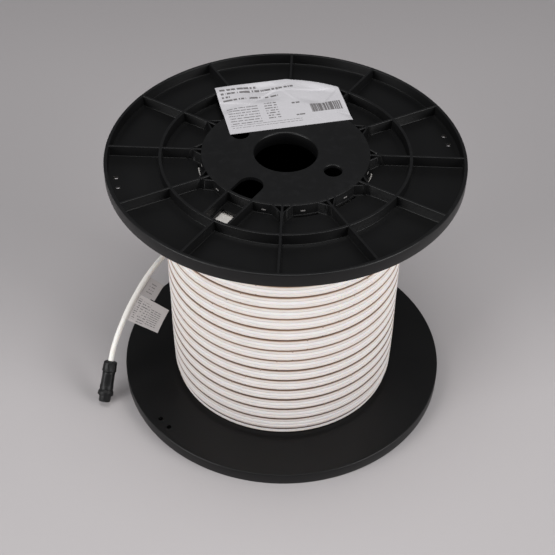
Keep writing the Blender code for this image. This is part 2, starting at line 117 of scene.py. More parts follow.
def skin(name, grid, round_rows=False, round_columns=False, along=None, across=None):
    """A mesh of quads between neighbouring points of a grid, rows by columns. A round direction is
    closed on itself, and the ends of a tube get one face each. The faces are turned so that the
    volume inside them, the sum of their corners' triple products, comes out positive. along and
    across are the lengths that the UV map keeps."""
    rows, columns = grid.shape[:2]
    index = np.arange(rows * columns).reshape(rows, columns)
    if round_rows:
        index = np.concatenate([index, index[:1]])
    if round_columns:
        index = np.concatenate([index, index[:, :1]], axis=1)
    quads = np.stack([index[:-1, :-1], index[1:, :-1], index[1:, 1:], index[:-1, 1:]], axis=-1)
    quads = quads.reshape(-1, 4)
    points = grid.reshape(-1, 3)
    corner = points[quads] - points.mean(axis=0)
    halves = (np.cross(corner[:, 1], corner[:, 2]) * corner[:, 0]).sum(axis=1)
    halves += (np.cross(corner[:, 2], corner[:, 3]) * corner[:, 0]).sum(axis=1)
    flipped = halves.sum() < 0
    faces = (quads[:, ::-1] if flipped else quads).tolist()
    if round_columns and not round_rows:
        first, last = index[0, :-1].tolist(), index[-1, :-1].tolist()
        faces += [first[::-1], last] if flipped else [first, last[::-1]]
    mesh = bpy.data.meshes.new(name)
    mesh.from_pydata(points.tolist(), [], faces)
    if along is not None:
        v, u = np.meshgrid(across, along)
        chart = np.stack([u, v], axis=-1)
        corners = np.stack([chart[:-1, :-1], chart[1:, :-1], chart[1:, 1:], chart[:-1, 1:]], axis=-2)
        corners = corners.reshape(-1, 4, 2)
        corners = corners[:, ::-1] if flipped else corners
        values = np.zeros((len(mesh.loops), 2), np.float32)
        values[:len(corners) * 4] = corners.reshape(-1, 2)
        mesh.uv_layers.new(name="lengths").data.foreach_set("uv", values.ravel())
    mesh.shade_smooth()
    mesh.set_sharp_from_angle(angle=SHARP_ANGLE)
    return mesh


def soft_box(name, place, size, watts):
    """A square area light that faces the middle of the reel."""
    light = bpy.data.lights.new(name, "AREA")
    light.size = size
    light.energy = watts
    lamp = bpy.data.objects.new(name, light)
    bpy.context.scene.collection.objects.link(lamp)
    away = np.array(place) - REEL_MIDDLE
    away /= np.linalg.norm(away)
    side = np.cross([0, 0, 1.0], away)
    side /= np.linalg.norm(side)
    axes = np.stack([side, np.cross(away, side), away, place], axis=1)
    lamp.matrix_world = Matrix([*axes.tolist(), [0, 0, 0, 1]])


span = np.linspace(-CARD_SIZE / 2, CARD_SIZE / 2, CARD_POINTS)
card_x, card_y = np.meshgrid(span, span, indexing="ij")
card = bpy.data.objects.new("card", skin("card", np.stack([card_x, card_y, 0 * card_x], axis=-1)))
bpy.context.scene.collection.objects.link(card)
card_material, tree, shader = new_material("matt_grey_card")
# Uncoated card without any gloss. Its grey gets slowly darker from CARD_NEAR back to CARD_FAR,
# as a painted fall-off of the light towards the back.
place = add_node(tree, "ShaderNodeTexCoord").outputs["Object"]
depth = add_node(tree, "ShaderNodeSeparateXYZ", {"Vector": place}).outputs["Y"]
fall_off = add_node(tree, "ShaderNodeMapRange", {
    "Value": depth, "From Min": CARD_NEAR, "From Max": CARD_FAR})
shade = add_node(tree, "ShaderNodeMix", {
    "Factor": fall_off.outputs["Result"], "A": linear("#bcb8b9"), "B": linear("#a09c9d")},
    data_type="RGBA")
fill(tree, shader, {"Base Color": shade.outputs["Result"], "Roughness": 0.9})
card.data.materials.append(card_material)

soft_box("left_box", (-1.65, -1.15, 0.95), 1.2, 31)
soft_box("right_box", (1.75, -1.05, 1.0), 1.2, 33)
soft_box("high_box", (0.0, -0.2, 2.3), 1.4, 22)
world = bpy.data.worlds.new("studio")
world.use_nodes = True
fill(world.node_tree, world.node_tree.nodes["Background"], {
    "Color": linear("#e8e9ec"), "Strength": 0.17})
bpy.context.scene.world = world
bpy.context.scene.view_settings.view_transform = "Standard"


# Lead cable. A round lead, 5 mm thick with a smooth extruded sheath of white PVC, is held in the
# nozzle of the flex's end cap. It leaves the cap level and bends down to its connector, 119 mm on.
CABLE_ROUTE = np.array([
    (-0.1094, 0.0420, 0.0995), (-0.1153, 0.0330, 0.0986), (-0.1210, 0.0242, 0.0962),
    (-0.1266, 0.0158, 0.0922), (-0.1319, 0.0078, 0.0872), (-0.1369, 0.0003, 0.0813),
    (-0.1417, -0.0068, 0.0747), (-0.1461, -0.0137, 0.0676), (-0.1501, -0.0203, 0.0601),
    (-0.1537, -0.0267, 0.0522), (-0.1567, -0.0331, 0.0440), (-0.1589, -0.0395, 0.0356)])
CABLE_RADIUS = 0.0025
CABLE_ROWS = 221
CABLE_SIDES = 28


def through(points, count):
    """A smooth curve through the given points (Catmull-Rom): between two of them, a cubic whose
    slope at each is half of the step from its neighbour before to its neighbour after."""
    knots = np.concatenate([[2 * points[0] - points[1]], points, [2 * points[-1] - points[-2]]])
    position = np.linspace(0, len(points) - 1, count)
    index = np.minimum(position.astype(int), len(points) - 2)
    t = (position - index)[:, None]
    a, b, c, d = (knots[index + k] for k in range(4))
    return 0.5 * (2 * b + (c - a) * t + (2 * a - 5 * b + 4 * c - d) * t ** 2
                  + (3 * b - a - 3 * c + d) * t ** 3)


def lengths_along(path):
    """Distance of each point from the first one, along the path."""
    return np.concatenate([[0], np.cumsum(np.linalg.norm(np.diff(path, axis=0), axis=1))])


def unit(vectors):
    """Each vector divided by its length."""
    return vectors / np.linalg.norm(vectors, axis=-1, keepdims=True)


def carried(path, sideways, outline):
    """A flat outline carried along a path. Point (i, j) is path point i, plus the outline's first
    number times the side direction, plus its second times the heading crossed with that side. The
    side is the part of sideways that is square to the heading."""
    heading = unit(np.gradient(path, axis=0))
    side = unit(sideways - (sideways * heading).sum(axis=-1, keepdims=True) * heading)
    lift = np.cross(heading, side)
    outline = np.broadcast_to(outline, (len(path), *np.shape(outline)[-2:]))
    return path[:, None] + outline[..., :1] * side[:, None] + outline[..., 1:] * lift[:, None]


def ring(radius, sides):
    """Points round a circle, as an outline: at angle a, radius times (cos a, sin a)."""
    angle = np.arange(sides) * 2 * np.pi / sides
    return np.stack([radius * np.cos(angle), radius * np.sin(angle)], axis=-1)


def piece(name, mesh, material, replaced=()):
    """Puts a finished mesh into the scene, on the one body that there is."""
    thing = bpy.data.objects.new(name, mesh)
    bpy.context.scene.collection.objects.link(thing)
    mesh.materials.append(material)
    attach(thing, "root")
    if replaced:
        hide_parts(*replaced)
    return thing


sheath, tree, shader = new_material("white_pvc_sheath")
# Soft PVC with a faint satin bloom. Its length carries slow dull patches from handling.
place = add_node(tree, "ShaderNodeUVMap", uv_map="lengths").outputs["UV"]
handled = add_node(tree, "ShaderNodeTexNoise", {"Vector": place, "Scale": 90.0, "Detail": 4.0})
tint = add_node(tree, "ShaderNodeMix", {
    "Factor": handled.outputs["Fac"], "A": linear("#efece6"), "B": linear("#f7f5f1")}, data_type="RGBA")
dull = add_node(tree, "ShaderNodeMapRange", {
    "Value": handled.outputs["Fac"], "To Min": 0.34, "To Max": 0.5})
fill(tree, shader, {
    "Base Color": tint.outputs["Result"], "Roughness": dull.outputs["Result"],
    "Subsurface Weight": 0.15, "Subsurface Radius": (0.002, 0.0016, 0.0012), "Subsurface Scale": 1.0})

cable_path = through(CABLE_ROUTE, CABLE_ROWS)
cable_grid = carried(cable_path, np.array([0.0, 0, 1.0]), ring(CABLE_RADIUS, CABLE_SIDES))
round_cable = np.linspace(0, 2 * np.pi * CABLE_RADIUS, CABLE_SIDES + 1)
lead_cable = piece("lead", skin(
    "lead", cable_grid, round_columns=True, along=lengths_along(cable_path), across=round_cable),
    sheath, ["lead_cable"])


# Connector. The waterproof round plug is moulded in black nylon: a ribbed gland nut that closes on
# the cable, and under it a body with grip pads, a collar and the plug's mouth.
CONNECTOR_TIP = np.array([-0.1648, -0.0622, 0.0048])
CONNECTOR_SIDES = 96
FLUTE_POWER = 0.6
NUT_RIBS, GRIP_PADS, COLLAR_RIBS = 16, 5, 32
MOUTH_LENGTH = 0.0060

nylon, tree, shader = new_material("black_moulded_nylon")
# Nylon from a spark-eroded mould: dull black, with a grain of about 0.6 mm here so that it shows.
place = add_node(tree, "ShaderNodeTexCoord").outputs["Object"]
grain = add_node(tree, "ShaderNodeTexNoise", {"Vector": place, "Scale": 1600.0, "Detail": 3.0})
tint = add_node(tree, "ShaderNodeMix", {
    "Factor": grain.outputs["Fac"], "A": linear("#0a0a0b"), "B": linear("#121213")}, data_type="RGBA")
relief = add_node(tree, "ShaderNodeBump", {
    "Height": grain.outputs["Fac"], "Strength": 0.25, "Distance": 0.0001})
fill(tree, shader, {
    "Base Color": tint.outputs["Result"], "Normal": relief.outputs["Normal"], "Roughness": 0.45,
    "Specular IOR Level": 0.3})


def turned_along(start, heading, stations):
    """A shape turned round a line. Each station is a distance along it, a radius, and the count and
    depth of the ribs there. At angle a the radius is smaller by the depth times the FLUTE_POWER-th
    power of (1 - cos(count x a)) / 2."""
    distance, radius, count, depth = (column[:, None] for column in np.array(stations).T)
    angle = np.arange(CONNECTOR_SIDES)[None] * 2 * np.pi / CONNECTOR_SIDES
    reach = radius - depth * (0.5 - 0.5 * np.cos(count * angle)) ** FLUTE_POWER
    side = unit(np.cross(heading, [0, 0, 1.0]))
    lift = np.cross(heading, side)
    return (start + distance[..., None] * heading + (reach * np.cos(angle))[..., None] * side
            + (reach * np.sin(angle))[..., None] * lift)


plug_start = CABLE_ROUTE[-1]
plug_heading = unit(CONNECTOR_TIP - plug_start)
plug_length = np.linalg.norm(CONNECTOR_TIP - plug_start)
nut_stations = [
    (0.0006, 0.0023, 1, 0), (0.0006, 0.0048, 1, 0), (0.0007, 0.0054, 1, 0), (0.0010, 0.0058, 1, 0),
    (0.0016, 0.0061, 1, 0), (0.0019, 0.0062, NUT_RIBS, 0.0002), (0.0050, 0.0063, NUT_RIBS, 0.0003),
    (0.0082, 0.0065, NUT_RIBS, 0.0002), (0.0086, 0.0065, 1, 0), (0.0089, 0.0067, 1, 0),
    (0.0096, 0.0067, 1, 0), (0.0098, 0.0066, 1, 0), (0.0099, 0.0056, 1, 0)]
connector_nut = piece("gland_nut", skin(
    "gland_nut", turned_along(plug_start, plug_heading, nut_stations), round_columns=True),
    nylon, ["connector_nut"])
collar = plug_length - MOUTH_LENGTH
body_stations = [
    (0.0102, 0.0050, 1, 0), (0.0103, 0.0057, 1, 0), (0.0108, 0.0059, 1, 0), (0.0122, 0.0060, 1, 0),
    (0.0127, 0.0060, GRIP_PADS, 0.0002), (0.0134, 0.0061, GRIP_PADS, 0.0005),
    (0.0165, 0.0062, GRIP_PADS, 0.0006), (0.0200, 0.0062, GRIP_PADS, 0.0006),
    (0.0228, 0.0063, GRIP_PADS, 0.0005), (0.0235, 0.0063, GRIP_PADS, 0.0002), (0.0239, 0.0063, 1, 0),
    (collar - 0.0062, 0.0064, 1, 0), (collar - 0.0059, 0.0061, 1, 0), (collar - 0.0055, 0.0061, 1, 0),
    (collar - 0.0052, 0.0064, 1, 0), (collar - 0.0044, 0.0065, 1, 0), (collar - 0.0040, 0.0068, 1, 0),
    (collar - 0.0034, 0.0071, COLLAR_RIBS, 0), (collar - 0.0031, 0.0072, COLLAR_RIBS, 0.0002),
    (collar - 0.0004, 0.0073, COLLAR_RIBS, 0.0002), (collar, 0.0070, 1, 0), (collar, 0.0055, 1, 0),
    (plug_length - 0.0006, 0.0055, 1, 0), (plug_length, 0.0052, 1, 0), (plug_length, 0.0042, 1, 0),
    (plug_length - 0.0045, 0.0040, 1, 0)]
connector_body = piece("plug_body", skin(
    "plug_body", turned_along(plug_start, plug_heading, body_stations), round_columns=True),
    nylon, ["connector_body"])


# Flag labels. Two strips of white coated paper are folded round the lead and stuck to themselves,
# so that each stands off the cable as a flag. Rows of plain grey strokes run across them.
PAPER = 0.0003
FLAG_LEAN = unit(np.array([0.942, -0.197, -0.272]))
FLAG_ROWS = 25
FLAG_POINTS, LOOP_POINTS = 14, 28
LOOP_START, LOOP_END = np.radians(18), np.radians(342)
STROKE_COLOUR = "#6f6c6d"
STROKE_THRESHOLD = 0.45
LOOP_COLOUR = "#efece7"


def stroked_paper(name, paper_colours, strokes, run="X", stack="Y", loop_colour=None):
    """White paper with rows of plain grey strokes. Each block of strokes is its corner and size in
    metres on the sheet, the pitch of its rows, the share of a row that a stroke fills, and a
    stroke's length. A stroke shows where noise drawn out along the row passes STROKE_THRESHOLD. The
    strokes run along one axis of the sheet and the rows are stacked along the other. Paper in a
    loop round the cable can have a whiter colour of its own, where the paper colours of the flat
    leaves are greyed as painted shade."""
    material, tree, shader = new_material(name)
    # Coated paper, matt, with a grain of fibres that is drawn at 1.4 mm so that it shows.
    place = add_node(tree, "ShaderNodeUVMap", uv_map="lengths").outputs["UV"]
    split = add_node(tree, "ShaderNodeSeparateXYZ", {"Vector": place})
    along, across = split.outputs[run], split.outputs[stack]
    stroked = 0.0
    for left, low, width, height, pitch, share, length in strokes:
        row = add_node(tree, "ShaderNodeMath", {0: across, 1: pitch}, operation="DIVIDE").outputs[0]
        number = add_node(tree, "ShaderNodeMath", {0: row}, operation="FLOOR").outputs[0]
        rest = add_node(tree, "ShaderNodeMath", {0: row}, operation="FRACT").outputs[0]
        steps = add_node(tree, "ShaderNodeMath", {0: along, 1: length}, operation="DIVIDE").outputs[0]
        seed = add_node(tree, "ShaderNodeCombineXYZ", {"X": steps, "Y": number, "Z": left * 1000})
        drawn_out = add_node(tree, "ShaderNodeTexNoise", {
            "Vector": seed.outputs["Vector"], "Scale": 1.0, "Detail": 2.0}).outputs["Fac"]
        shown = add_node(tree, "ShaderNodeMath", {
            0: drawn_out, 1: STROKE_THRESHOLD}, operation="GREATER_THAN").outputs[0]
        for value, middle, reach in ((rest, 0.5, share / 2), (along, left + width / 2, width / 2),
                                     (across, low + height / 2, height / 2)):
            inside = add_node(tree, "ShaderNodeMath", {
                0: value, 1: middle, 2: reach}, operation="COMPARE").outputs[0]
            shown = add_node(tree, "ShaderNodeMath", {
                0: shown, 1: inside}, operation="MULTIPLY").outputs[0]
        stroked = add_node(tree, "ShaderNodeMath", {
            0: stroked, 1: shown}, operation="MAXIMUM").outputs[0]
    fibres = add_node(tree, "ShaderNodeTexNoise", {"Vector": place, "Scale": 700.0, "Detail": 5.0})
    sheet = add_node(tree, "ShaderNodeMix", {
        "Factor": fibres.outputs["Fac"], "A": linear(paper_colours[0]), "B": linear(paper_colours[1])},
        data_type="RGBA").outputs["Result"]
    if loop_colour:
        looped = add_node(tree, "ShaderNodeMath", {
            0: split.outputs["Y"], 1: CABLE_RADIUS}, operation="LESS_THAN").outputs[0]
        sheet = add_node(tree, "ShaderNodeMix", {
            "Factor": looped, "A": sheet, "B": linear(loop_colour)}, data_type="RGBA").outputs["Result"]
    colour = add_node(tree, "ShaderNodeMix", {
        "Factor": stroked, "A": sheet, "B": linear(STROKE_COLOUR)}, data_type="RGBA")
    relief = add_node(tree, "ShaderNodeBump", {
        "Height": fibres.outputs["Fac"], "Strength": 0.2, "Distance": 0.0001})
    fill(tree, shader, {
        "Base Color": colour.outputs["Result"], "Normal": relief.outputs["Normal"], "Roughness": 0.7})
    return material


def flag_grid(first, last, reach, curl):
    """A leaf of paper and the loop that holds it to the cable, carried along the cable between two
    distances: out along the leaf's upper face, back along its lower one and once round the cable.
    The leaf bends out of its plane by curl times the square of the share of its reach. Given back
    with it are the distances along the cable and out from it."""
    distance = lengths_along(cable_path)
    where = np.linspace(first, last, FLAG_ROWS)
    path = np.stack([np.interp(where, distance, cable_path[:, k]) for k in range(3)], axis=-1)
    out = np.linspace(CABLE_RADIUS + 0.0006, reach, FLAG_POINTS)
    bend = curl * (out / reach) ** 2
    half = PAPER / 2
    loop_angle = np.linspace(LOOP_START, LOOP_END, LOOP_POINTS)
    loop = (CABLE_RADIUS + half) * np.stack([np.cos(loop_angle), np.sin(loop_angle)], axis=-1)
    upper = np.stack([out, bend + half], axis=-1)[::-1]
    lower = np.stack([out, bend - half], axis=-1)
    outline = np.concatenate([upper, loop, lower])
    flat = np.concatenate([out[::-1], np.zeros(LOOP_POINTS), out, out[-1:]])
    return carried(path, FLAG_LEAN, outline), where - first, flat


# The flags' flat leaves turn away from the lamps, and their shade is painted into greyer paper colours.
# Only the loops keep LOOP_COLOUR, the white of the paper.
flag_paper = stroked_paper("coated_paper_flag_with_painted_shade", ("#b4afae", "#bfbab8"), [
    (0.0045, 0.003, 0.0035, 0.021, 0.0021, 0.42, 0.0010),
    (0.0095, 0.004, 0.0085, 0.021, 0.0026, 0.36, 0.0011),
    (0.0190, 0.006, 0.0105, 0.019, 0.0022, 0.36, 0.0011)],
    run="Y", stack="X", loop_colour=LOOP_COLOUR)
plain_paper = stroked_paper("clear_coated_flag_with_painted_shade", ("#9c9796", "#a6a1a0"), [
    (0.0065, 0.003, 0.0060, 0.013, 0.0030, 0.30, 0.0016)],
    run="Y", stack="X", loop_colour=LOOP_COLOUR)
grid, along, out = flag_grid(0.0317, 0.0496, 0.0178, 0.0006)
upper_flag = piece("upper_flag", skin("upper_flag", grid, round_columns=True, along=along, across=out),
                   plain_paper, ["cable_flag_upper"])
grid, along, out = flag_grid(0.0506, 0.0773, 0.0337, -0.0004)
lower_flag = piece("lower_flag", skin("lower_flag", grid, round_columns=True, along=along, across=out),
                   flag_paper, ["cable_flag_lower"])


# Neon flex. An extruded silicone profile, 12 mm square, with a milky band for the light between two
# fine grooves in its outer face. The outer layer is one length, wound upwards turn by turn, and its
# end rises out of the top, comes down slantwise behind the reel and is glued into the moulded cap.
FLEX_SIDE = 0.012
TURN_PITCH = 0.01243
LOW_TURNS = (0.0067, 0.0136, 0.0135, 0.0126, 0.0128)
WINDING_DRIFT = 0.0005
TURNS = 18
WINDING_RADIUS = 0.1033
FLANGE_HEIGHT = 0.012
STEP_START, STEP_SPAN = np.radians(20), np.radians(42)
RISE_START, RISE_END, TAIL_END = np.radians(-22), np.radians(18), np.radians(147)
TAIL_END_HEIGHT = 0.0995
TAIL_LIFT = 0.0044
TAIL_STRAIGHT = 0.004
GAP = 0.0003
UNEVEN, LOW_SHIFTS = 0.00012, (-0.0018, -0.0003, -0.0001)
DRIFT_START, DRIFT_SPAN = 0.03, 0.11
WAVE, WAVES_PER_RADIAN = 0.00012, 1.31
RAMP_REACH = 0.010
CUT_MARK_STEP, CUT_MARK_SHARE = 0.1042, 0.011
SUNK_LINE_HEIGHT, SUNK_LINE_HALF = 0.0172, 0.0008
ROWS_PER_TURN = 84

silicone, tree, shader = new_material("milky_extruded_silicone")
# Extruded silicone, soft and translucent. The light band is the clearest white, and its grooves
# hold a fine grey line of painted shade. The side walls are creamier, and the corners between
# turns are painted dark brown as the shade in the crevices there.
# The colours follow the way round the section, from the middle of the band out to RAMP_REACH.
place = add_node(tree, "ShaderNodeUVMap", uv_map="lengths").outputs["UV"]
split = add_node(tree, "ShaderNodeSeparateXYZ", {"Vector": place})
along_flex, round_flex = split.outputs["X"], split.outputs["Y"]
off_middle = add_node(tree, "ShaderNodeMath", {0: round_flex}, operation="ABSOLUTE").outputs[0]
share = add_node(tree, "ShaderNodeMath", {0: off_middle, 1: RAMP_REACH}, operation="DIVIDE").outputs[0]
bands = add_node(tree, "ShaderNodeValToRGB", {"Fac": share})
# Stops 0.195 to 0.24 are the grooves' painted shade, and 0.56 to 0.86 the painted shade in the corners
# between turns.
stops = [(0.0, "#faf7f5"), (0.17, "#f6f2f0"), (0.195, "#d8d3cf"), (0.24, "#d8d3cf"), (0.27, "#f3ece8"),
         (0.49, "#eee6e0"), (0.56, "#ddd0c6"), (0.60, "#a0826c"), (0.70, "#6b5547"), (0.79, "#6b5547"),
         (0.86, "#ded4ca"), (1.0, "#e9e2da")]
while len(bands.color_ramp.elements) < len(stops):
    bands.color_ramp.elements.new(0.5)
for element, (position, colour) in zip(bands.color_ramp.elements, stops):
    element.position = position
    element.color = linear(colour)
# Low down the corners are greyer and darker, and the whole turn is a little less bright: painted
# shade towards the bottom.
solid_place = add_node(tree, "ShaderNodeTexCoord").outputs["Object"]
height = add_node(tree, "ShaderNodeSeparateXYZ", {"Vector": solid_place}).outputs["Z"]
raised = add_node(tree, "ShaderNodeMapRange", {"Value": height, "From Min": 0.03, "From Max": 0.15})
corner_grey = add_node(tree, "ShaderNodeMix", {
    "Factor": raised.outputs["Result"], "A": linear("#857a7c"), "B": linear("#ffffff")}, data_type="RGBA")
face_grey = add_node(tree, "ShaderNodeMix", {
    "Factor": raised.outputs["Result"], "A": linear("#f3f2f3"), "B": linear("#ffffff")}, data_type="RGBA")
in_corner = add_node(tree, "ShaderNodeMapRange", {"Value": share, "From Min": 0.53, "From Max": 0.59})
low_painted_shade = add_node(tree, "ShaderNodeMix", {
    "Factor": in_corner.outputs["Result"], "A": face_grey.outputs["Result"],
    "B": corner_grey.outputs["Result"]}, data_type="RGBA")
shade_painted_bands = add_node(tree, "ShaderNodeMix", {
    "Factor": 1.0, "A": bands.outputs["Color"], "B": low_painted_shade.outputs["Result"]},
    data_type="RGBA", blend_type="MULTIPLY")
cloud = add_node(tree, "ShaderNodeTexNoise", {"Vector": place, "Scale": 60.0, "Detail": 4.0})
haze = add_node(tree, "ShaderNodeMapRange", {
    "Value": cloud.outputs["Fac"], "From Min": 0.3, "From Max": 0.8, "To Min": 0.0, "To Max": 0.25})
tinted = add_node(tree, "ShaderNodeMix", {
    "Factor": haze.outputs["Result"], "A": shade_painted_bands.outputs["Result"], "B": linear("#e6dfd8")},
    data_type="RGBA", blend_type="MULTIPLY")
# A small dark cut mark stands on the edge every 104 mm of flex.
repeat = add_node(tree, "ShaderNodeMath", {
    0: along_flex, 1: CUT_MARK_STEP}, operation="DIVIDE").outputs[0]
repeat = add_node(tree, "ShaderNodeMath", {0: repeat}, operation="FRACT").outputs[0]
marked = add_node(tree, "ShaderNodeMath", {
    0: repeat, 1: CUT_MARK_SHARE}, operation="LESS_THAN").outputs[0]
on_edge = add_node(tree, "ShaderNodeMath", {0: share, 1: 0.51}, operation="GREATER_THAN").outputs[0]
marked = add_node(tree, "ShaderNodeMath", {0: marked, 1: on_edge}, operation="MULTIPLY").outputs[0]
coloured = add_node(tree, "ShaderNodeMix", {
    "Factor": marked, "A": tinted.outputs["Result"], "B": linear("#8c7868")}, data_type="RGBA")
# The lowest turn lies back under the next one, and the shade in that gap is painted on it as a
# dark line.
painted_gap_shade = add_node(tree, "ShaderNodeMath", {
    0: height, 1: SUNK_LINE_HEIGHT, 2: SUNK_LINE_HALF}, operation="COMPARE").outputs[0]
coloured = add_node(tree, "ShaderNodeMix", {
    "Factor": painted_gap_shade, "A": coloured.outputs["Result"], "B": linear("#5a4743")}, data_type="RGBA")
grain = add_node(tree, "ShaderNodeTexNoise", {"Vector": place, "Scale": 900.0, "Detail": 3.0})
relief = add_node(tree, "ShaderNodeBump", {
    "Height": grain.outputs["Fac"], "Strength": 0.12, "Distance": 0.0001})
fill(tree, shader, {
    "Base Color": coloured.outputs["Result"], "Normal": relief.outputs["Normal"], "Roughness": 0.46,
    "Subsurface Weight": 0.2, "Subsurface Radius": (0.0028, 0.0018, 0.0011), "Subsurface Scale": 1.0})


def smooth(value):
    """0 below 0, 1 above 1, and 3 v^2 - 2 v^3 between."""
    value = np.clip(value, 0, 1)
    return value * value * (3 - 2 * value)


def flex_outline():
    """The flex's section: half of it listed from the middle of the light band to the middle of the
    back, with each corner a quarter circle, then the same mirrored."""
    def corner(middle_out, middle_up, radius, start, end):
        """Five points of a circle about a corner's middle, in millimetres."""
        angle = np.radians(np.linspace(start, end, 5))
        return [(middle_out + radius * np.cos(a), middle_up + radius * np.sin(a)) for a in angle]
    half = [(6.10, 0), (6.08, 0.7), (6.02, 1.3), (5.93, 1.72), (5.78, 1.90), (5.52, 1.98), (5.52, 2.22),
            (5.82, 2.32), (5.97, 2.50), (6.0, 3.3), (6.0, 4.3), *corner(4.8, 4.8, 1.2, 8, 90),
            (2.5, 6.0), (-2.5, 6.0), *corner(-5.2, 5.2, 0.8, 90, 172), (-6.0, 3.0), (-6.0, 0)]
    half = np.array(half) * 0.001
    return np.concatenate([half[::-1], half[1:-1] * [1, -1]])


def wound_path():
    """Centre line of the outer layer against the angle wound. Each turn lies level, and at the back
    right the height goes up by one pitch, and the radius to that of the next turn, by a smooth
    step. The first turn starts in the layer below. The lowest turns are pressed to other heights,
    which are given back with the path as shares of the full one, and drift a little to the right.
    Each turn's radius is off by a random amount of about UNEVEN, the lowest ones' by LOW_SHIFTS
    more, and a slow sine wave runs through the height. The tail's radius and height follow two more
    smooth steps."""
    angle = np.arange(STEP_START, 2 * np.pi * TURNS + TAIL_END, 2 * np.pi / ROWS_PER_TURN)
    uneven = np.random.default_rng(5).normal(0, UNEVEN, TURNS)
    uneven[:len(LOW_SHIFTS)] += LOW_SHIFTS
    pitch = np.full(TURNS, TURN_PITCH)
    pitch[:len(LOW_TURNS)] = LOW_TURNS
    bedded = WINDING_RADIUS - FLEX_SIDE / 2
    height = FLANGE_HEIGHT + GAP + pitch[0] / 2 + 0 * angle
    tall = pitch[0] / TURN_PITCH + 0 * angle
    radius = bedded - FLEX_SIDE + (FLEX_SIDE + uneven[0]) * smooth((angle - STEP_START) / STEP_SPAN)
    for turn in range(1, TURNS):
        step = smooth((angle - STEP_START - 2 * np.pi * turn) / STEP_SPAN)
        height = height + (pitch[turn - 1] + pitch[turn]) / 2 * step
        tall = tall + (pitch[turn] - pitch[turn - 1]) / TURN_PITCH * step
        radius = radius + (uneven[turn] - uneven[turn - 1]) * step
    free = angle - 2 * np.pi * TURNS
    rise = smooth((free - RISE_START) / (RISE_END - RISE_START))
    fall = smooth((free - RISE_END) / (TAIL_END - RISE_END))
    radius = radius + (FLEX_SIDE + GAP) * rise + TAIL_LIFT * fall
    height = height + (TAIL_END_HEIGHT - height) * fall
    height = height + WAVE * np.sin(WAVES_PER_RADIAN * angle) * (1 - rise)
    drift = WINDING_DRIFT * (1 - smooth((height - DRIFT_START) / DRIFT_SPAN)) * (1 - rise)
    path = np.stack([radius * np.cos(angle) + drift, radius * np.sin(angle), height], axis=-1)
    radius_end = bedded + FLEX_SIDE + GAP + TAIL_LIFT
    end = np.array([radius_end * np.cos(TAIL_END), radius_end * np.sin(TAIL_END), TAIL_END_HEIGHT])
    leaving = np.array([-np.sin(TAIL_END), np.cos(TAIL_END), 0])
    path = np.concatenate([path, end + leaving * np.linspace(0.001, TAIL_STRAIGHT, 3)[:, None]])
    return path, np.append(tall, [1, 1, 1]), leaving


flex_path, tall, leaving = wound_path()
section = flex_outline()
round_section = np.concatenate([lengths_along(section), [0]])
round_section[-1] = round_section[-2] + np.linalg.norm(section[0] - section[-1])
middle = round_section[len(section) // 2]
outward = flex_path * [1, 1, 0]
pressed = section[None] * np.stack([np.ones_like(tall), tall], axis=-1)[:, None]
piece("wound_flex", skin(
    "wound_flex", carried(flex_path, outward, pressed), round_columns=True,
    along=lengths_along(flex_path), across=round_section - middle),
    silicone, ["neon_flex"])


# Inner layers. Under the outer one lie two more layers of the same flex. Only their top turns show,
# through the slots of the flange, so each layer is one ring with the turns' grooves round it.
REEL_HEIGHT = 0.252
HUB_RADIUS = 0.070
LAYERS, LAYER_SIDES = 3, 120


def turned(profile, steps):
    """A loop of radius and height turned about the reel's axis: at angle a the point is radius
    times (cos a, sin a), at the loop's height."""
    angle = np.arange(steps)[None] * 2 * np.pi / steps
    radius, height = profile[:, :1], profile[:, 1:]
    return np.stack([radius * np.cos(angle), radius * np.sin(angle), height + 0 * angle], axis=-1)


def layer_profile(inner, outer):
    """Loop of one layer: out over the top, down the outside with a groove below each turn, and
    back along the bottom and up the inside."""
    high = REEL_HEIGHT - FLANGE_HEIGHT - 0.0011
    low = high - TURNS * TURN_PITCH
    turn = np.array([(-0.0011, 0.0), (-0.0003, 0.0004), (0, 0.0012), (0, TURN_PITCH - 0.0012),
                     (-0.0003, TURN_PITCH - 0.0004)])
    tops = high - TURN_PITCH * np.arange(TURNS)
    outside = np.stack([outer + turn[:, 0][None] + 0 * tops[:, None],
                        tops[:, None] - turn[:, 1][None]], axis=-1).reshape(-1, 2)
    return np.concatenate([[(inner, high - 0.001), (inner + 0.001, high)], outside,
                           [(outer - 0.001, low), (inner + 0.001, low), (inner, low + 0.001)]])


inner_silicone, tree, shader = new_material("milky_silicone_of_the_inner_layers")
# The same extruded silicone. Only its side walls are seen, creamy and slightly cloudy.
place = add_node(tree, "ShaderNodeTexCoord").outputs["Object"]
cloud = add_node(tree, "ShaderNodeTexNoise", {"Vector": place, "Scale": 45.0, "Detail": 4.0})
tint = add_node(tree, "ShaderNodeMix", {
    "Factor": cloud.outputs["Fac"], "A": linear("#ece6df"), "B": linear("#f8f5f1")}, data_type="RGBA")
fill(tree, shader, {"Base Color": tint.outputs["Result"], "Roughness": 0.5})
layer_step = (WINDING_RADIUS - FLEX_SIDE - HUB_RADIUS - GAP) / (LAYERS - 1)
for layer in range(LAYERS - 1):
    inner = HUB_RADIUS + GAP + layer * layer_step
    grid = turned(layer_profile(inner, inner + layer_step - 0.0001), LAYER_SIDES)
    name = f"flex_layer_{layer + 1}"
    piece(name, skin(name, grid, round_rows=True, round_columns=True), inner_silicone)


# End cap. Moulded in the same silicone and glued over the flex's cut end, with a ribbed nozzle that
# grips the lead.
CAP_SIDES = 72
NOZZLE_RIDGES = 3


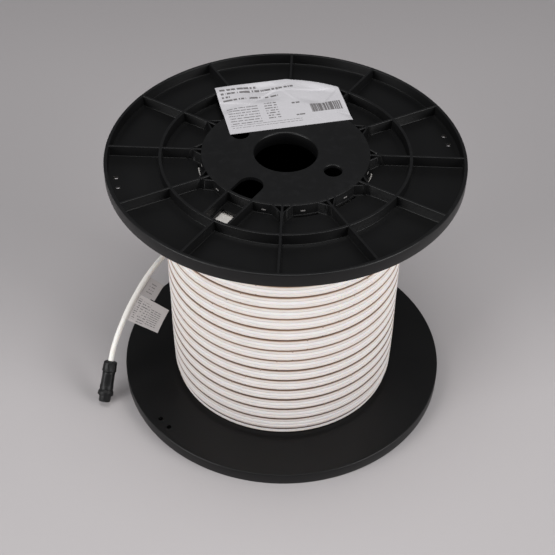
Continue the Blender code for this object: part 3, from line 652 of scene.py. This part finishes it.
def lofted(start, heading, side, stations):
    """A shape along a line. At each station's distance the section is a superellipse
    |x|^n + |y|^n = h^n, whose half width h and power n the station gives: 2 is a circle, 9 nearly
    a square."""
    angle = np.arange(CAP_SIDES)[None] * 2 * np.pi / CAP_SIDES
    distance, half, power = (column[:, None] for column in np.array(stations).T)
    cosine, sine = np.cos(angle), np.sin(angle)
    reach = half / (np.abs(cosine) ** power + np.abs(sine) ** power) ** (1 / power)
    lift = np.cross(heading, side)
    return (start + distance[..., None] * heading + (reach * cosine)[..., None] * side
            + (reach * sine)[..., None] * lift)


cap_start = flex_path[-1]
cap_side = np.array([np.cos(TAIL_END), np.sin(TAIL_END), 0])
cap_stations = [(-0.0030, 0.0060, 9), (-0.0030, 0.0064, 9), (-0.0027, 0.0067, 9), (-0.0020, 0.0068, 10),
                (0.0120, 0.0068, 10), (0.0129, 0.0066, 8), (0.0136, 0.0060, 6), (0.0139, 0.0051, 4),
                (0.0140, 0.0042, 2), (0.0144, 0.0039, 2)]
for ridge in range(NOZZLE_RIDGES):
    foot = 0.0148 + 0.0016 * ridge
    wide = 0.0038 - 0.0003 * ridge
    cap_stations += [(foot, wide - 0.0005, 2), (foot + 0.0002, wide, 2), (foot + 0.0007, wide, 2),
                     (foot + 0.0009, wide - 0.0005, 2)]
cap_stations += [(0.0197, 0.0027, 2), (0.0199, 0.0023, 2)]
cap_silicone, tree, shader = new_material("moulded_silicone_cap")
# Pressed silicone, whiter and duller than the extruded one.
place = add_node(tree, "ShaderNodeTexCoord").outputs["Object"]
cloud = add_node(tree, "ShaderNodeTexNoise", {"Vector": place, "Scale": 220.0, "Detail": 4.0})
tint = add_node(tree, "ShaderNodeMix", {
    "Factor": cloud.outputs["Fac"], "A": linear("#e4dfd8"), "B": linear("#f0ece7")}, data_type="RGBA")
relief = add_node(tree, "ShaderNodeBump", {
    "Height": cloud.outputs["Fac"], "Strength": 0.2, "Distance": 0.0002})
fill(tree, shader, {
    "Base Color": tint.outputs["Result"], "Normal": relief.outputs["Normal"], "Roughness": 0.55,
    "Subsurface Weight": 0.15, "Subsurface Radius": (0.0025, 0.0018, 0.0012), "Subsurface Scale": 1.0})
piece("end_cap", skin("end_cap", lofted(cap_start, leaving, cap_side, cap_stations), round_columns=True),
      cap_silicone, ["flex_end_cap"])


# Flanges. Both are the same moulding in black high-impact polystyrene: a floor 2.5 mm thick towards
# the winding, and outside a rim wall, a round rib, twelve radial ribs that fork at the hub, and the
# hub with its bore. The slot leads from the hub between two walls to the window at the round rib.
WEB = 0.0025
RIM_RADIUS = FLANGE_RADIUS - 0.0001
RIM_WALL = 0.003
RING_RADIUS, RING_WALL = 0.105, 0.0025
BORE_RADIUS, COLLAR_WALL = 0.0264, 0.0036
HUB_PLATE, SKIRT_WALL = 0.003, 0.0025
RIBS, RIB_WALL, RIB_TURN = 12, 0.002, np.radians(-1.5)
GUSSET_FOOT, GUSSET_LENGTH, GUSSET_WALL = 0.00725, 0.008, 0.0015
SLOT_RIB, SLOT_WIDTH, SLOT_WALL, SLOT_START = 8, 0.0210, 0.002, 0.0425
WINDOW_START, WINDOW_WIDTH = 0.0805, 0.0175
DRIVE_RADIUS, DRIVE_CIRCLE, DRIVE_ANGLE = 0.0075, 0.0456, np.radians(-32)
GLIMPSE_WIDTH, GLIMPSE_SPAN = 0.0014, np.radians(16)
TIE_RADIUS, TIE_CIRCLE = 0.0022, 0.1405
TIE_ANGLE, TIE_SPREAD = np.radians(13.5), np.radians(2.6)
LOWER_TURN = np.radians(-125)
# A wall's edge: distances outside the wall's face, and the heights above the floor there.
# The crown is rounded to 0.35 mm, the face has 0.1 mm of draft, and the foot is filleted to 0.4 mm.
CROWN = FLANGE_HEIGHT - WEB
EDGE = np.array([-0.00035, -0.00010, 0, 0.00010, 0.00022, 0.0005])
EDGE_HEIGHT = np.array([CROWN, CROWN - 0.0001, CROWN - 0.00035, 0.0004, 0.00012, 0])
MIDDLE_COLUMNS = 11
PUNCH_MARGIN = 0.002
HOLE_SHARP_ANGLE = np.radians(50)


def wall_height(outside):
    """Height above the floor at a distance outside a wall's face, negative inside it."""
    return np.interp(outside, EDGE, EDGE_HEIGHT)


def rib_columns(radius, with_slot):
    """Distances of the grid's lines from a rib's middle line at each radius. Out to the round rib
    they follow the rib's edge and then the slanting gusset's, or the two edges of the slot's wall,
    and past it they lie side by side along the rib."""
    near = np.concatenate([[0], RIB_WALL / 2 + EDGE])
    spread = RIB_WALL / 2 + EDGE[-1] + 0.0002 * np.arange(1, 14)
    slope = (GUSSET_FOOT - RIB_WALL / 2) / GUSSET_LENGTH
    stretch = np.hypot(1, slope)
    both = np.concatenate([-EDGE[::-1] - GUSSET_WALL / 2, [0], EDGE + GUSSET_WALL / 2]) * stretch
    forked = GUSSET_FOOT - slope * np.clip(radius - HUB_RADIUS, 0, 1)
    forked = np.maximum(forked[:, None] + both[None], spread[None])
    plain = np.concatenate([np.broadcast_to(near, (len(radius), 7)), forked], axis=1)
    if not with_slot:
        return plain
    half = SLOT_WIDTH / 2
    channel = np.concatenate([np.linspace(0, half - 0.0012, 7), half - EDGE[::-1],
                              [half + SLOT_WALL / 2], half + SLOT_WALL + EDGE])
    return np.where((radius < RING_RADIUS - RING_WALL / 2)[:, None], channel[None], plain)


def flange_grid():
    """The flange with its floor's face at height 0. Rows follow its section once round: up the bore,
    out over the hub, floor, round rib and rim, and back along the floor's face and the hollow of
    the hub. Columns follow the ribs. On the outside the height is the greatest of the walls'."""
    ring_inner, rim_inner = RING_RADIUS - RING_WALL, FLANGE_RADIUS - RIM_WALL
    outside = np.concatenate([
        HUB_RADIUS + EDGE,
        HUB_RADIUS + np.array([0.0012, 0.0025, 0.004, 0.0055, 0.0066, 0.0074, 0.008, 0.0086]),
        [0.082, 0.090, 0.097], ring_inner - EDGE[::-1],
        RING_RADIUS + EDGE, [0.110, 0.118, 0.127, 0.136, 0.143], rim_inner - EDGE[::-1]])
    bend = np.radians(np.linspace(0, 90, 5))
    rim = RIM_RADIUS - 0.001 + 0.001 * np.sin(bend)
    rim_height = FLANGE_HEIGHT - 0.001 + 0.001 * np.cos(bend)
    lip = np.radians(np.linspace(90, 0, 5))
    mouth = BORE_RADIUS + 0.0015 - 0.0015 * np.sin(lip)
    mouth_height = FLANGE_HEIGHT - 0.0015 + 0.0015 * np.cos(lip)
    collar, skirt = BORE_RADIUS + COLLAR_WALL, HUB_RADIUS - SKIRT_WALL
    under = [(FLANGE_RADIUS - 0.004, 0), (0.125, 0), (0.100, 0), (0.082, 0), (0.0715, 0),
             (skirt + 0.0003, 0), (skirt, 0.0003), (skirt, FLANGE_HEIGHT - HUB_PLATE),
             (collar, FLANGE_HEIGHT - HUB_PLATE), (collar, 0.0003), (collar - 0.0003, 0),
             (BORE_RADIUS + 0.0003, 0), (BORE_RADIUS, 0.0003)]
    hub = [0.034, 0.045, 0.057, 0.066]
    under_radius, under_height = np.array(under).T
    radius = np.concatenate([mouth, hub, outside, rim, rim[::-1], under_radius])
    height = np.concatenate([mouth_height, np.full(len(hub) + len(outside), FLANGE_HEIGHT), rim_height,
                             FLANGE_HEIGHT - rim_height[::-1], under_height])
    first = len(mouth) + len(hub)
    shaped = slice(first, first + len(outside))
    spreading = np.clip(radius, HUB_RADIUS, None)
    columns = []
    for rib in range(RIBS):
        here, after = RIB_TURN + 2 * np.pi * rib / RIBS, RIB_TURN + 2 * np.pi * (rib + 1) / RIBS
        beside_here = rib_columns(spreading, rib == SLOT_RIB)
        beside_after = rib_columns(spreading, (rib + 1) % RIBS == SLOT_RIB)
        left = here + np.arcsin(beside_here / spreading[:, None])
        right = after - np.arcsin(beside_after / spreading[:, None])
        between = np.linspace(0, 1, MIDDLE_COLUMNS + 2)[None, 1:-1]
        middle = left[:, -1:] + (right[:, -1:] - left[:, -1:]) * between
        columns += [left, middle, right[:, :0:-1]]
    angle = np.concatenate(columns, axis=1)
    flat = radius[:, None] + 0 * angle
    raised = height[:, None] + 0 * angle
    reach, turn = flat[shaped], angle[shaped]
    nearest = np.round((turn - RIB_TURN) / (2 * np.pi / RIBS))
    off = turn - RIB_TURN - nearest * 2 * np.pi / RIBS
    beside = np.abs(reach * np.sin(off))
    slotted = (nearest % RIBS == SLOT_RIB) & (reach < RING_RADIUS - RING_WALL / 2)
    top = np.maximum.reduce([wall_height(reach - HUB_RADIUS), wall_height(rim_inner - reach),
                             wall_height(np.abs(reach - RING_RADIUS + RING_WALL / 2) - RING_WALL / 2)])
    off_slot = np.abs(beside - (SLOT_WIDTH + SLOT_WALL) / 2) - SLOT_WALL / 2
    rib_top = np.where(slotted, wall_height(off_slot), wall_height(beside - RIB_WALL / 2))
    slope = (GUSSET_FOOT - RIB_WALL / 2) / GUSSET_LENGTH
    aside = np.abs(beside - GUSSET_FOOT + slope * (reach - HUB_RADIUS)) / np.hypot(1, slope)
    aside = aside - GUSSET_WALL / 2
    forked = (reach < HUB_RADIUS + GUSSET_LENGTH + 0.001) & ~slotted
    gusset_top = np.where(forked, wall_height(aside), 0)
    raised[shaped] = WEB + np.maximum.reduce([top, rib_top, gusset_top])
    return np.stack([flat * np.cos(angle), flat * np.sin(angle), raised], axis=-1)


def punch(outline, flare=0.0):
    """A closed cutter: an outline carried straight up through the flange. Near the outer face it
    widens by flare along a quarter circle, which leaves the hole's edge rounded."""
    outline = np.array(outline)
    ahead, behind = np.roll(outline, -1, axis=0), np.roll(outline, 1, axis=0)
    tangent = unit(ahead - behind)
    outwards = np.stack([tangent[:, 1], -tangent[:, 0]], axis=-1)
    twice_area = (outline[:, 0] * ahead[:, 1] - ahead[:, 0] * outline[:, 1]).sum()
    outwards *= np.sign(twice_area)
    bend = np.radians(np.linspace(0, 90, 4))
    low, high = -PUNCH_MARGIN, FLANGE_HEIGHT + PUNCH_MARGIN
    grown = np.concatenate([[0], flare * (1 - np.cos(bend)), [flare]])
    height = np.concatenate([[low], FLANGE_HEIGHT - flare + flare * np.sin(bend), [high]])
    if not flare:
        grown, height = np.zeros(2), np.array([low, high])
    flat = outline[None] + grown[:, None, None] * outwards[None]
    return np.concatenate([flat, np.broadcast_to(height[:, None, None], (*flat.shape[:2], 1))], axis=-1)


def arc(radius, start, end, steps):
    """Points round part of a circle: at angle a, radius times (cos a, sin a)."""
    angle = np.linspace(start, end, steps + 1)
    return np.stack([radius * np.cos(angle), radius * np.sin(angle)], axis=-1)


def flange_holes():
    """Outlines and flares of the flange's holes: the slot and its window, two drive holes, four
    tie holes, and the narrow arc slots at the foot of the hub."""
    slot = RIB_TURN + 2 * np.pi * SLOT_RIB / RIBS
    half, half_window = SLOT_WIDTH / 2, WINDOW_WIDTH / 2
    skirt, ring_inner = HUB_RADIUS - SKIRT_WALL, RING_RADIUS - RING_WALL
    middle = (SLOT_START + half) * np.array([np.cos(slot), np.sin(slot)])
    round_end = middle + arc(half, slot + np.pi / 2, slot + 3 * np.pi / 2, 24)
    spread = np.arcsin(half / skirt)
    holes = [(np.concatenate([round_end, arc(skirt, slot - spread, slot + spread, 8)]), 0.0)]
    spread, wide = np.arcsin(half_window / WINDOW_START), np.arcsin(half_window / ring_inner)
    holes.append((np.concatenate([arc(WINDOW_START, slot + spread, slot - spread, 6),
                                  arc(ring_inner - 0.0006, slot - wide, slot + wide, 6)]), 0.0))
    for side in (0, np.pi):
        centre = DRIVE_CIRCLE * np.array([np.cos(DRIVE_ANGLE + side), np.sin(DRIVE_ANGLE + side)])
        holes.append((centre + ring(DRIVE_RADIUS, 48), 0.0007))
        for shift in (-TIE_SPREAD, TIE_SPREAD):
            angle = TIE_ANGLE + side + shift
            centre = TIE_CIRCLE * np.array([np.cos(angle), np.sin(angle)])
            holes.append((centre + ring(TIE_RADIUS, 24), 0.0))
    for rib in range(RIBS):
        if rib not in (SLOT_RIB - 1, SLOT_RIB):
            ends = RIB_TURN + 2 * np.pi * (rib + 0.5) / RIBS + np.array([-0.5, 0.5]) * GLIMPSE_SPAN
            low = HUB_RADIUS + 0.0018
            holes.append((np.concatenate([arc(low, ends[1], ends[0], 8),
                                          arc(low + GLIMPSE_WIDTH, ends[0], ends[1], 8)]), 0.0))
    return holes


def holed(mesh):
    """The flange's mesh with its holes cut by the punches, which are joined into one cutter."""
    together = bmesh.new()
    for number, (outline, flare) in enumerate(flange_holes()):
        punched = skin(f"punch_{number}", punch(outline, flare), round_columns=True)
        together.from_mesh(punched)
        bpy.data.meshes.remove(punched)
    cutter_mesh = bpy.data.meshes.new("punches")
    together.to_mesh(cutter_mesh)
    together.free()
    blank = bpy.data.objects.new("blank", mesh)
    cutter = bpy.data.objects.new("punches", cutter_mesh)
    for thing in (blank, cutter):
        bpy.context.scene.collection.objects.link(thing)
    cut = blank.modifiers.new("holes", "BOOLEAN")
    cut.operation, cut.solver, cut.object = "DIFFERENCE", "EXACT", cutter
    bpy.context.view_layer.update()
    graph = bpy.context.evaluated_depsgraph_get()
    cut_mesh = bpy.data.meshes.new_from_object(blank.evaluated_get(graph))
    for thing in (blank, cutter):
        bpy.data.objects.remove(thing, do_unlink=True)
    cut_mesh.shade_smooth()
    cut_mesh.set_sharp_from_angle(angle=HOLE_SHARP_ANGLE)
    return cut_mesh


def stood(mesh, name, matrix):
    """A copy of a mesh in its place, with the place in its points."""
    copy = mesh.copy()
    copy.name = name
    copy.transform(matrix)
    return copy


polystyrene, tree, shader = new_material("black_moulded_polystyrene")
# Black high-impact polystyrene from a matt mould. It has slow dull and satin patches from the melt's
# flow, and a fine grain, drawn at 1 mm so that it shows. The outer faces at the top and bottom, with
# the crowns of the ribs and rims, are slightly greyer in scuffed patches: partly wear where they
# slide on floors and on other reels, and partly a painted highlight on their edges.
place = add_node(tree, "ShaderNodeTexCoord").outputs["Object"]
flow = add_node(tree, "ShaderNodeTexNoise", {
    "Vector": place, "Scale": 14.0, "Detail": 5.0, "Distortion": 0.6})
grain = add_node(tree, "ShaderNodeTexNoise", {"Vector": place, "Scale": 950.0, "Detail": 2.0})
scuffs = add_node(tree, "ShaderNodeTexNoise", {
    "Vector": place, "Scale": 120.0, "Detail": 8.0, "Roughness": 0.7})
height = add_node(tree, "ShaderNodeSeparateXYZ", {"Vector": place}).outputs["Z"]
off_centre = add_node(tree, "ShaderNodeMath", {
    0: height, 1: REEL_HEIGHT / 2}, operation="SUBTRACT").outputs[0]
off_centre = add_node(tree, "ShaderNodeMath", {0: off_centre}, operation="ABSOLUTE").outputs[0]
# The top and bottom faces are greyed in scuffed patches: partly wear, partly a painted highlight on the
# crowns of the ribs and rims.
worn_and_highlit = add_node(tree, "ShaderNodeMapRange", {
    "Value": off_centre, "From Min": REEL_HEIGHT / 2 - 0.0006, "From Max": REEL_HEIGHT / 2 - 0.0001})
scratched = add_node(tree, "ShaderNodeMapRange", {
    "Value": scuffs.outputs["Fac"], "From Min": 0.5, "From Max": 0.75, "To Min": 0.25, "To Max": 1.0})
worn_and_highlit = add_node(tree, "ShaderNodeMath", {
    0: worn_and_highlit.outputs["Result"], 1: scratched.outputs["Result"]}, operation="MULTIPLY").outputs[0]
base = add_node(tree, "ShaderNodeMix", {
    "Factor": flow.outputs["Fac"], "A": linear("#090909"), "B": linear("#0e0e0f")}, data_type="RGBA")
scuffed_and_highlit = add_node(tree, "ShaderNodeMix", {
    "Factor": worn_and_highlit, "A": base.outputs["Result"], "B": linear("#181819")}, data_type="RGBA")
dull = add_node(tree, "ShaderNodeMapRange", {
    "Value": flow.outputs["Fac"], "From Min": 0.3, "From Max": 0.7, "To Min": 0.34, "To Max": 0.44})
relief = add_node(tree, "ShaderNodeBump", {
    "Height": grain.outputs["Fac"], "Strength": 0.15, "Distance": 0.0001})
fill(tree, shader, {
    "Base Color": scuffed_and_highlit.outputs["Result"], "Roughness": dull.outputs["Result"],
    "Normal": relief.outputs["Normal"], "Specular IOR Level": 0.3})

flange_mesh = holed(skin("flange_blank", flange_grid(), round_rows=True, round_columns=True))
upper_place = Matrix.Translation((0, 0, REEL_HEIGHT - FLANGE_HEIGHT))
lower_place = (Matrix.Translation((0, 0, FLANGE_HEIGHT)) @ Matrix.Rotation(LOWER_TURN, 4, "Z")
               @ Matrix.Rotation(np.pi, 4, "X"))
piece("upper_flange", stood(flange_mesh, "upper_flange", upper_place), polystyrene,
      ["flange_top"])
piece("lower_flange", stood(flange_mesh, "lower_flange", lower_place), polystyrene,
      ["flange_bottom"])


# Drum. A plain moulded tube of the same black polystyrene, held between the flanges by tongues that
# snap into their hubs. Its solid has the shape already and only gets the plastic.
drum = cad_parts["core_drum"]
drum.data.materials.clear()
drum.data.materials.append(polystyrene)


# Snap tongues. They are moulded with the drum and lock through small windows in the hub's skirt,
# where their tips show as short pale dashes.
TONGUE_HEIGHT = 0.2462
TONGUE_WIDTH, TONGUE_RISE = 0.0038, 0.0010
TONGUE_DEGREES = (-103.7, -78.1, -46.5, -15.7, -140.8, -169.1)
TONGUE_SIDES, TONGUE_POWER = 24, 6
tongue_plastic, tree, shader = new_material("pale_moulded_tongue_tip")
# Pale grey polystyrene, dull, mottled between a mid grey and a lighter grey.
place = add_node(tree, "ShaderNodeTexCoord").outputs["Object"]
cloud = add_node(tree, "ShaderNodeTexNoise", {"Vector": place, "Scale": 900.0, "Detail": 3.0})
tint = add_node(tree, "ShaderNodeMix", {
    "Factor": cloud.outputs["Fac"], "A": linear("#6a6766"), "B": linear("#8f8c8a")}, data_type="RGBA")
fill(tree, shader, {"Base Color": tint.outputs["Result"], "Roughness": 0.5})


def tongue_grid(degrees):
    """A tip at an angle round the hub. Its outline is the superellipse |x|^n + |y|^n = 1, n being
    TONGUE_POWER, as wide and high as the tip, and it shrinks to 85% at its outer end."""
    azimuth = np.radians(degrees)
    out = np.array([np.cos(azimuth), np.sin(azimuth), 0])
    tangent = np.array([-np.sin(azimuth), np.cos(azimuth), 0])
    stations = np.array([(-0.0004, 1.0), (0.0002, 1.0), (0.0004, 0.85)])
    cosine, sine = ring(1, TONGUE_SIDES).T
    reach = 1 / (np.abs(cosine) ** TONGUE_POWER + np.abs(sine) ** TONGUE_POWER) ** (1 / TONGUE_POWER)
    wide = (reach * cosine * TONGUE_WIDTH / 2)[:, None] * tangent
    high = (reach * sine * TONGUE_RISE / 2)[:, None] * [0, 0, 1.0]
    middle = out * (HUB_RADIUS + stations[:, :1]) + [0, 0, TONGUE_HEIGHT]
    return middle[:, None] + stations[:, 1, None, None] * (wide + high)


for number, degrees in enumerate(TONGUE_DEGREES):
    name = f"tongue_tip_{number}"
    piece(name, skin(name, tongue_grid(degrees), round_columns=True), tongue_plastic)


# Reel label. A crumpled sheet of white paper, 107 by 71 mm, is glued to the hub and lies over the
# ribs round it. It sags between them, and its far right corner is bent down behind the round rib.
# Rows of plain grey strokes run across it.
LABEL_LENGTH, LABEL_WIDTH = 0.107, 0.071
LABEL_TURN = np.radians(13.8)
LABEL_CENTRE = (-0.0035, 0.0690)
LABEL_ROWS, LABEL_COLUMNS = 121, 81
LABEL_PAPER = 0.00022
LABEL_SAG, LABEL_BEND_DROP = 0.0016, 0.0088
# Each fold is the direction across it on the sheet, its distance from the middle, its width and its
# height.
LABEL_FOLDS = ((0.9, 0.44, 0.012, 0.0025, 0.00016), (0.35, 0.94, -0.006, 0.0030, 0.00012),
               (0.97, -0.22, -0.028, 0.0022, 0.00018), (-0.55, 0.83, 0.020, 0.0028, 0.00014),
               (0.75, -0.66, 0.031, 0.0022, 0.00016), (0.15, 0.99, 0.021, 0.0035, 0.00014))


def label_grid():
    """The sheet as a loop of its upper and its lower face. Its height falls between the ribs as the
    square of a sine across each gap, under a smooth step from the hub and back at the round rib.
    Folds are added as low ridges across given lines. Past the round rib, at the right, each
    point goes down by as much as it lay beyond the rib, and then out along the floor."""
    s, t = np.meshgrid(np.linspace(-0.5, 0.5, LABEL_ROWS) * LABEL_LENGTH,
                       np.linspace(-0.5, 0.5, LABEL_COLUMNS) * LABEL_WIDTH, indexing="ij")
    x = LABEL_CENTRE[0] + s * np.cos(LABEL_TURN) - t * np.sin(LABEL_TURN)
    y = LABEL_CENTRE[1] + s * np.sin(LABEL_TURN) + t * np.cos(LABEL_TURN)
    radius, angle = np.hypot(x, y), np.arctan2(y, x)
    gap = (angle - RIB_TURN) / (2 * np.pi / RIBS) % 1
    hanging = smooth((radius - 0.0705) / 0.010) * (1 - smooth((radius - 0.096) / 0.007))
    sag = LABEL_SAG * np.sin(np.pi * gap) ** 2 * hanging
    past = np.clip(radius - RING_RADIUS - 0.001, 0, None)
    sag = sag + 0.12 * past
    fold = np.zeros_like(s)
    for across_s, across_t, offset, width, depth in LABEL_FOLDS:
        away = across_s * s + across_t * t - offset
        fold = fold + depth * np.exp(-np.abs(away) / width) * np.tanh(away / 0.0006)
    loose = 0.35 + 1.2 * hanging + 3.0 * hanging * np.sin(np.pi * gap) ** 2
    top = REEL_HEIGHT + 0.00045 - sag + np.clip(fold * loose, -0.0009, 0.00015)
    bent = smooth((np.radians(91.5) - angle) / np.radians(6)) * (past > 0)
    down = np.minimum(past, LABEL_BEND_DROP)
    bent_radius = RING_RADIUS + 0.001 + 0.0004 * smooth(past / 0.002)
    bent_radius = bent_radius + np.clip(past - LABEL_BEND_DROP, 0, None)
    top = top - bent * (down - 0.12 * past) - 0.0003 * bent
    scale = 1 + bent * (bent_radius / radius - 1)
    upper = np.stack([x * scale, y * scale, top], axis=-1)
    lower = upper - [0, 0, LABEL_PAPER]
    return np.concatenate([upper, lower[:, ::-1]], axis=1)


label_paper = stroked_paper("crumpled_label_paper", ("#bfbdc1", "#cccacd"), [
    (0.0030, 0.0624, 0.033, 0.0052, 0.0052, 0.52, 0.0024),
    (0.0032, 0.0572, 0.065, 0.0052, 0.0052, 0.52, 0.0024),
    (0.0034, 0.0520, 0.007, 0.0052, 0.0052, 0.52, 0.0030),
    (0.0036, 0.0468, 0.049, 0.0052, 0.0052, 0.48, 0.0022),
    (0.0040, 0.0114, 0.027, 0.0266, 0.0038, 0.28, 0.0018),
    (0.0368, 0.0144, 0.011, 0.0252, 0.0036, 0.38, 0.0014),
    (0.0030, 0.0060, 0.062, 0.0060, 0.0030, 0.20, 0.0014),
    (0.0612, 0.0324, 0.007, 0.0036, 0.0036, 0.60, 0.0022),
    (0.0614, 0.0144, 0.008, 0.0036, 0.0036, 0.50, 0.0014),
    (0.0760, 0.0174, 0.027, 0.0125, 0.0480, 1.00, 0.0009)])
across = np.linspace(0, LABEL_WIDTH, LABEL_COLUMNS)
across = np.concatenate([across, across[::-1], across[:1]])
piece("reel_label_sheet", skin("reel_label_sheet", label_grid(), round_columns=True,
                               along=np.linspace(0, LABEL_LENGTH, LABEL_ROWS), across=across),
      label_paper, ["reel_label"])
